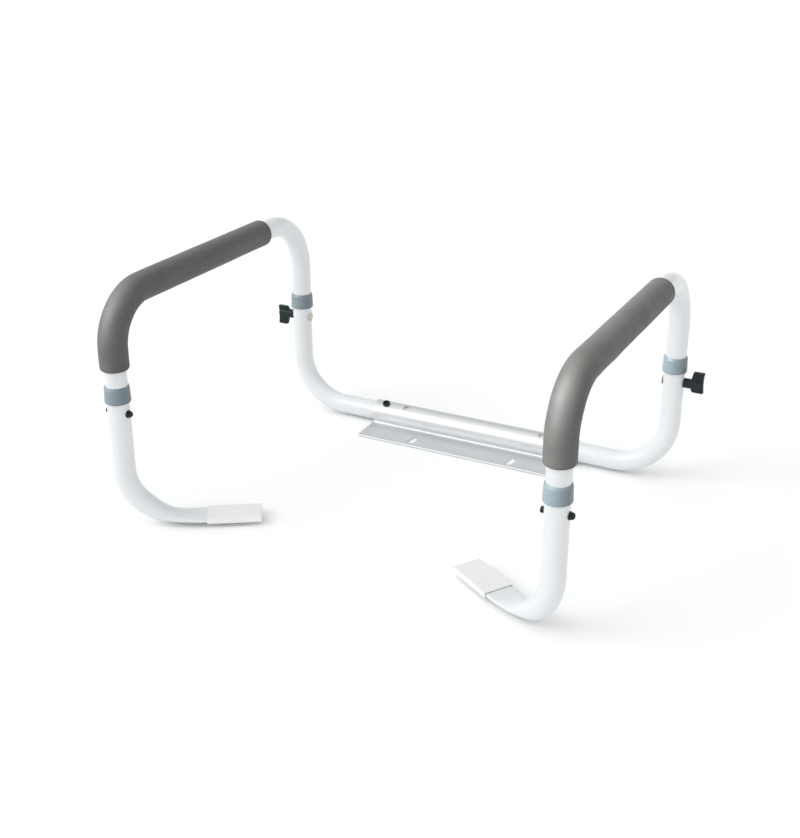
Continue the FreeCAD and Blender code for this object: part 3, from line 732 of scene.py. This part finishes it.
def foot_cap(side):
    """Flexible sleeve, open towards the tube and closed at the tip, slightly crowned on top."""
    node = f"{side.name}_foot_cap"
    low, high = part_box(node)
    height = high.z - low.z
    corner, lip = 1.6 * MM, 0.35 * MM
    start = Vector((side.x, side.front, (low.z + high.z) / 2))
    aside = Vector((0, 0, 1)).cross(side.foot)

    def section(along, inset=0.0, size=(CAP_WIDTH, height), radius=corner, lift=0.0):
        rounding = max(radius - inset, 0.15 * MM)
        points = rounded_rectangle(size[0] - 2 * inset, size[1] - 2 * inset, rounding)
        centre = start + side.foot * along
        return [centre + aside * u + Vector((0, 0, v + lift)) for u, v in points]

    def quarter(count):
        return [math.pi / 2 * k / count for k in range(count + 1)]

    tip = CAP_START + CAP_LENGTH
    mouth, mouth_corner = (33.8 * MM, 4.9 * MM), 0.9 * MM
    sole, end_wall, crown = 1.1 * MM, 2 * MM, 0.35 * MM
    floor_lift = low.z + sole + mouth[1] / 2 - start.z
    deep = tip - end_wall
    rings = [[start + side.foot * deep + Vector((0, 0, floor_lift))]]
    rings.append(section(deep, 0, mouth, mouth_corner, floor_lift))
    rings.append(section(CAP_START + lip, 0, mouth, mouth_corner, floor_lift))
    for t in quarter(3)[1:]:
        along, inset = CAP_START + lip - lip * math.sin(t), -lip * (1 - math.cos(t)) / 2
        rings.append(section(along, inset, mouth, mouth_corner, floor_lift))
    rings += [section(CAP_START + lip - lip * math.cos(t), lip * (1 - math.sin(t))) for t in quarter(3)]
    rings += [section(CAP_START + CAP_LENGTH * share) for share in (0.2, 0.4, 0.6, 0.8)]
    rings += [section(tip - corner + corner * math.sin(t), corner * (1 - math.cos(t))) for t in quarter(6)]
    rings.append([start + side.foot * tip])
    cap = skin(rings)
    top = start.z + height / 2 - 0.5 * MM
    for vertex in cap.verts:
        if vertex.co.z > top:
            offset = vertex.co - start
            spread = offset.dot(aside) / (CAP_WIDTH / 2)
            reach = (offset.dot(side.foot) - CAP_START) / CAP_LENGTH
            vertex.co.z -= crown * (spread * spread + (2 * reach - 1) ** 4)
    piece(node, cap)


def rear_lock_knob(side):
    """Moulded knob: a round hub and an uneven flat wing with a hollowed outer face."""
    node = f"{side.name}_rear_lock_knob"
    low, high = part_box(node)
    axis = Vector((side.x, side.rear, side.rear_bolt))
    out = Vector((side.sign, 0, 0))
    reach = abs((high.x if side.sign > 0 else low.x) - side.x)
    foot = abs((low.x if side.sign > 0 else high.x) - side.x)
    upper, lower = high.z - axis.z, low.z - axis.z
    hub = (high.y - low.y) / 2
    root, tip, hollow, thick = 21.5 * MM, 23.8 * MM, 1 * MM, 6 * MM
    seat = INSERT_END - foot
    cover, half_steps = 1 * MM, 6
    stem = reach - hollow - cover - foot
    route = Route((axis + out * foot, axis + out * reach))
    outline = rounded(
        (
            (seat, 0, 0),
            (seat, INSERT_RADIUS, 0),
            (0, INSERT_RADIUS, 0.2 * MM),
            (0, hub, 0.7 * MM),
            (stem, hub - 0.2 * MM, 1.2 * MM),
            (stem, 0, 0),
        )
    )
    stalk = turned(route, outline, around=64, pitch=1.0)
    half, centre = (upper - lower) / 2, (upper + lower) / 2
    radius = (half * half + hollow * hollow) / (2 * hollow)
    lean = math.asin(half / radius)
    face = []
    for k in range(2 * half_steps + 1):
        angle = lean * (1 - k / half_steps)
        along = reach - hollow + radius * (1 - math.cos(angle))
        face.append((along, centre + radius * math.sin(angle)))
    profile = face + [(tip, lower), (root, -hub), (root, hub), (tip, upper)]
    rings = [[axis + out * along + Vector((0, y, up)) for along, up in profile]
             for y in (-thick / 2, thick / 2)]
    wing_edge = 0.9 * MM
    wing = soften(prism(rings), wing_edge, math.radians(20), steps=4)
    piece(node, carve(stalk, [wing], "UNION"))


def knob_insert(side):
    """Brass bush in the knob's hub, with a plain bore where the thread is."""
    node = f"{side.name}_knob_insert"
    low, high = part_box(node)
    start, end = (low.x, high.x) if side.sign > 0 else (high.x, low.x)
    route = Route(((start, side.rear, side.rear_bolt), (end, side.rear, side.rear_bolt)))
    outside = (high.z - low.z) / 2
    outline = rounded(
        (
            (0, outside, 0.3 * MM),
            (route.length, outside, 0.3 * MM),
            (route.length, INSERT_BORE, 0.2 * MM),
            (0, INSERT_BORE, 0.4 * MM),
        )
    )
    piece(node, turned(route, outline, around=48, pitch=1.0))


# ------------------------------------------------------------------ fasteners


def hexagon(flats, angle):
    """How far a hexagon of that width across flats reaches at an angle."""
    sector = math.pi / 3
    return flats / 2 / math.cos((angle + sector / 2) % sector - sector / 2)


def socket_screw(node, top, end, head, head_height, shank, socket, depth, knurls=0):
    """Screw with a round head and a hexagon socket, from the head's top to the shank's end."""
    route = Route((top, end))
    corner = socket / math.sqrt(3)
    chamfer = 0.3 * MM
    knurl_start, knurl_end, knurl_depth = 0.25 * head_height, head_height - 0.3 * MM, 0.07 * MM
    outline = rounded(
        (
            (depth, 0, 0),
            (depth, corner, 0),
            (chamfer, corner, 0),
            (0, corner + chamfer, 0),
            (0, head, 0.22 * head),
            (head_height, head, 0.25 * MM),
            (head_height, shank, 0),
            (route.length, shank, 0.4 * MM),
            (route.length, 0, 0),
        )
    )

    def shape(along, angle, radius):
        if along <= depth + TOUCHING and radius <= corner + ON_AXIS:
            return min(radius, hexagon(socket, angle))
        gripped = knurl_start < along < knurl_end
        if knurls and gripped and radius > 0.99 * head:
            return radius - knurl_depth * (1 + math.cos(knurls * angle))
        return radius

    piece(node, turned(route, outline, around=144 if knurls else 72, pitch=0.8 * MM, shape=shape))


def width_lock_screw(side):
    """Knurled socket screw that leans forward over the tube inside the bracket."""
    node = f"{side.name}_width_lock_screw"
    low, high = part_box("center_bracket")
    radius = (high.z - low.z) / 2
    axis = Vector((middle(node).x, high.y - radius, low.z + radius))
    head, height, shank, socket, depth = 5 * MM, 3 * MM, 4 * MM, 5 * MM, 1.8 * MM
    top = axis + LOCK_WAY * (radius + height)
    end = axis + LOCK_WAY * (side.tube + STOP_GAP)
    socket_screw(node, top, end, head, height, shank, socket, depth, knurls=36)


def front_lock_bolt(side):
    node = f"{side.name}_front_lock_bolt"
    low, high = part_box(node)
    centre = middle(node)
    start = Vector((low.x, centre.y, centre.z))
    end = Vector((high.x, centre.y, centre.z))
    head, height = (high.z - low.z) / 2, side.x - side.tube - low.x
    socket, depth = 3 * MM, 1.8 * MM
    socket_screw(node, start, end, head, height, FRONT_BOLT, socket, depth)


def rear_lock_bolt(side):
    """Carriage bolt with a low domed head on the inner side."""
    node = f"{side.name}_rear_lock_bolt"
    low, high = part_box(node)
    start, end = (low.x, high.x) if side.sign > 0 else (high.x, low.x)
    route = Route(((start, side.rear, side.rear_bolt), (end, side.rear, side.rear_bolt)))
    head, height = (high.z - low.z) / 2, abs(side.x - start) - side.tube
    edge = 0.45 * MM
    crown = height - edge
    ball = (head * head + crown * crown) / (2 * crown)
    dome, steps = [], 12
    for k in range(steps + 1):
        out = head * k / steps
        dome.append((ball - math.sqrt(ball * ball - out * out), out))
    shank = rounded(
        (
            (height, head, 0.1 * MM),
            (height, REAR_BOLT, 0),
            (route.length, REAR_BOLT, 0.5 * MM),
            (route.length, 0, 0),
        )
    )
    piece(node, turned(route, dome + shank, around=64, pitch=1.0))


def front_washer(side):
    node = f"{side.name}_front_washer"
    low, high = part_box(node)
    centre = middle(node)
    route = Route(((low.x, centre.y, centre.z), (high.x, centre.y, centre.z)))
    outside, inside, lip = (high.z - low.z) / 2, FRONT_BOLT + HOLE_GAP, 0.2 * MM
    outline = rounded(
        (
            (0, outside, lip),
            (route.length, outside, lip),
            (route.length, inside, lip),
            (0, inside, lip),
        )
    )
    piece(node, turned(route, outline, around=56, pitch=1.0))


def front_cap_nut(side):
    """Acorn nut: a chamfered hexagon with a dome over it, blind from behind."""
    node = f"{side.name}_front_cap_nut"
    low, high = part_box(node)
    centre = middle(node)
    route = Route(((low.x, centre.y, centre.z), (high.x, centre.y, centre.z)))
    corner = (high.z - low.z) / 2
    flats = corner * math.sqrt(3)
    dome, hexed, bevel = corner - 0.75 * MM, 2.3 * MM, 0.3 * MM
    total, thread, blind = route.length, FRONT_BOLT + THREAD_GAP, route.length - 1 * MM
    outline = rounded(
        (
            (blind, 0, 0),
            (blind, thread, 0),
            (0, thread, 0.2 * MM),
            (0, corner - 0.35 * MM, 0),
            (bevel, corner, 0),
            (hexed - bevel, corner, 0),
            (hexed, corner - 0.5 * MM, 0),
            (hexed, dome, 0),
            (total, dome, 2 * MM),
            (total, 0, 0),
        ),
        steps=7,
    )

    def shape(along, angle, radius):
        return min(radius, hexagon(flats, angle)) if along <= hexed + TOUCHING and radius > dome else radius

    piece(node, turned(route, outline, around=72, pitch=1.0, shape=shape))


# ------------------------------------------------------------------ centre bracket


def centre_bracket():
    """Extruded tube and flange, with a bore, two seat-bolt slots and four lock holes."""
    node = "center_bracket"
    low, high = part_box(node)
    radius = (high.z - low.z) / 2
    tube_y, tube_z = high.y - radius, low.z + radius
    thick, edge, root = 3 * MM, 1.2 * MM, 2 * MM
    rise = thick + root - radius
    root_y = -math.sqrt((radius + root) ** 2 - rise ** 2)
    meet = math.atan2(rise, root_y)
    profile = []
    steps, root_steps, edge_steps = 84, 6, 5
    sweep = math.tau + meet + math.pi / 2
    for k in range(steps + 1):
        angle = -math.pi / 2 + sweep * k / steps
        profile.append((tube_y + radius * math.cos(angle), tube_z + radius * math.sin(angle)))
    start, end = meet + math.pi, -math.pi / 2
    for k in range(1, root_steps + 1):
        angle = start + (end - start) * k / root_steps
        profile.append((tube_y + root_y + root * math.cos(angle), thick + root + root * math.sin(angle)))
    for centre_z, first in ((thick - edge, math.pi / 2), (edge, math.pi)):
        for k in range(edge_steps + 1):
            angle = first + math.pi / 2 * k / edge_steps
            profile.append((low.y + edge + edge * math.cos(angle), centre_z + edge * math.sin(angle)))
    ends = [[Vector((x, y, z)) for y, z in profile] for x in (low.x, high.x)]
    beyond = 5 * MM
    bore, lock_hole, lock_offsets = 12.8 * MM, 4.05 * MM, (97.5 * MM, 127.5 * MM)
    slot_offset, slot_length, slot_width = 70 * MM, 22.5 * MM, 10.5 * MM
    cutters = [rod((low.x - beyond, tube_y, tube_z), (high.x + beyond, tube_y, tube_z), bore, around=96)]
    for sign in (-1, 1):
        place = sign * slot_offset
        cutters.append(slot(place, slot_length, slot_width, low.z - beyond, low.z + 2 * beyond))
        for offset in lock_offsets:
            axis = Vector((sign * offset, tube_y, tube_z))
            cutters.append(rod(axis, axis + LOCK_WAY * (radius + beyond), lock_hole))
    bevel, sharp = 0.25 * MM, math.radians(40)
    piece(node, soften(carve(prism(ends), cutters), bevel, sharp), smooth=sharp)


def slot(x, length, width, bottom, top):
    """A cutter for an upright slot that runs along Y."""
    radius = width / 2
    reach = (length - width) / 2
    points, steps = [], 16
    for sign in (1, -1):
        for k in range(steps + 1):
            angle = math.pi * k / steps + (0 if sign > 0 else math.pi)
            points.append((x + radius * math.cos(angle), sign * reach + radius * math.sin(angle)))
    rings = [[Vector((px, py, z)) for px, py in points] for z in (bottom, top)]
    return skin([[Vector((x, 0, bottom))], *rings, [Vector((x, 0, top))]])


# ------------------------------------------------------------------ stage


def floor():
    """A round pale studio floor that sweeps up into a low wall all the way round."""
    radius, sweep, wall = 12.0, 2.0, 3.0
    steps, around = 16, 96
    profile = [(radius + sweep * math.sin(t), sweep * (1 - math.cos(t)))
               for t in (math.pi / 2 * k / steps for k in range(steps + 1))]
    profile.append((radius + sweep, wall))
    rings = [[Vector((0, 0, 0))]]
    for reach, height in profile:
        turns = (math.tau * i / around for i in range(around))
        rings.append([Vector((reach * math.cos(turn), reach * math.sin(turn), height)) for turn in turns])
    made = bpy.data.objects.new("studio_floor", to_mesh(skin(rings), "studio_floor"))
    bpy.context.scene.collection.objects.link(made)
    made.data.shade_smooth()
    paint = Finish("pale_floor", roughness=0.9)
    paint.colour(paint.grain(2, 2), (0.93, 0.93, 0.93), (0.95, 0.95, 0.95))
    made.data.materials.append(paint.material)


def lamp(name, place, energy, angle):
    """A soft sun that shines from a place towards the middle of the frame."""
    data = bpy.data.lights.new(name, "SUN")
    data.energy = energy
    data.angle = angle
    made = bpy.data.objects.new(name, data)
    bpy.context.scene.collection.objects.link(made)
    made.location = place
    made.rotation_euler = (Vector(HEART) - Vector(place)).to_track_quat("-Z", "Y").to_euler()
    return made


def studio():
    """Bright air on the side the light comes from, dimmer on the far side, and a soft sun."""
    world = bpy.data.worlds.new("studio_air")
    bpy.context.scene.world = world
    world.use_nodes = True
    nodes, links = world.node_tree.nodes, world.node_tree.links
    towards = nodes.new("ShaderNodeVectorMath")
    towards.operation = "DOT_PRODUCT"
    towards.inputs[1].default_value = Vector(LIGHT_SIDE).normalized()
    links.new(nodes.new("ShaderNodeTexCoord").outputs["Generated"], towards.inputs[0])
    spread = nodes.new("ShaderNodeMapRange")
    spread.inputs["From Min"].default_value = -1.0
    spread.inputs["From Max"].default_value = 1.0
    spread.inputs["To Min"].default_value = AIR_DIM
    spread.inputs["To Max"].default_value = AIR_BRIGHT
    links.new(towards.outputs["Value"], spread.inputs["Value"])
    sky = nodes["Background"]
    sky.inputs["Color"].default_value = (0.975, 0.99, 1.0, 1)
    links.new(spread.outputs["Result"], sky.inputs["Strength"])
    lamp("key_light", KEY_PLACE, KEY_ENERGY, KEY_ANGLE)
    bpy.context.scene.view_settings.view_transform = "Standard"
    bpy.context.scene.view_settings.look = "None"


def dark_piece_light(name, energy):
    """One more soft lamp from the key side that falls on one side's foam and collars only."""
    made = lamp(f"{name}_dark_piece_light", DARK_PLACE, energy, DARK_ANGLE)
    lit = bpy.data.collections.new(f"{name}_dark_pieces")
    for kind in ("foam_grip", "rear_collar", "front_collar"):
        lit.objects.link(bpy.data.objects[f"{name}_{kind}_fine"])
    made.light_linking.receiver_collection = lit


def camera():
    data = bpy.data.cameras.new("photo_camera")
    data.sensor_width = SENSOR_MM
    data.lens = LENS_MM
    data.clip_end = VIEW_END
    made = bpy.data.objects.new("photo_camera", data)
    bpy.context.scene.collection.objects.link(made)
    made.location = CAMERA_PLACE
    made.rotation_euler = (math.radians(90 - CAMERA_DOWN), 0, CAMERA_TURN)
    bpy.context.scene.camera = made


camera()
floor()
studio()
for side in (Side("left"), Side("right")):
    handle_tube(side)
    rear_lower_tube(side)
    front_lower_tube(side)
    foam_grip(side)
    collar(side, "rear")
    collar(side, "front")
    foot_cap(side)
    rear_lock_knob(side)
    knob_insert(side)
    rear_lock_bolt(side)
    width_lock_screw(side)
    front_lock_bolt(side)
    front_washer(side)
    front_cap_nut(side)
centre_bracket()
for name, energy in DARK_ENERGY.items():
    dark_piece_light(name, energy)
